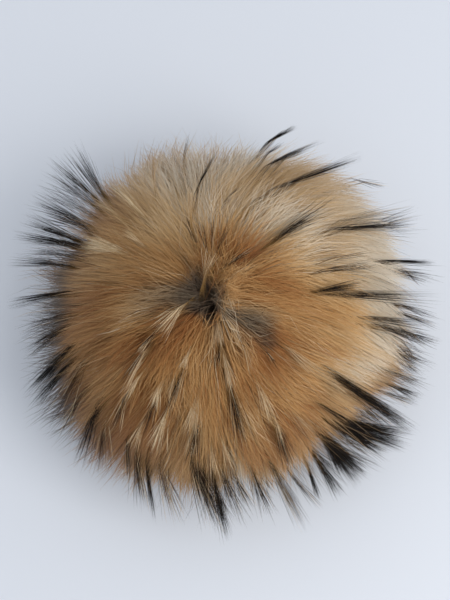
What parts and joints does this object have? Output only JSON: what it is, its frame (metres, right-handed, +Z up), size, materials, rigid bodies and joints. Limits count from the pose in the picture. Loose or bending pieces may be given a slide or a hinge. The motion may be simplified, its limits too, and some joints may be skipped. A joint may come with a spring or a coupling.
{
  "type": "fur pom pom",
  "caption": "Round long-haired fur pom pom with a parting at its crown and uneven dark-tipped locks, resting on a small flat spot.",
  "frame": {"origin": "middle of the small flat spot on which the pom pom rests", "axes": "+Z up through the stuffed ball towards the crown; +X and +Y are the right and the far side of the pom pom as it is seen from above with the parting a little behind and to the left of its middle"},
  "size_m": [0.1928, 0.1833, 0.1141],
  "materials": {
    "fur": "long soft hair, tan with cream and near-black tips"
  },
  "bodies": {
    "root": {"fur_pompom": "fur"}
  },
  "joints": []
}
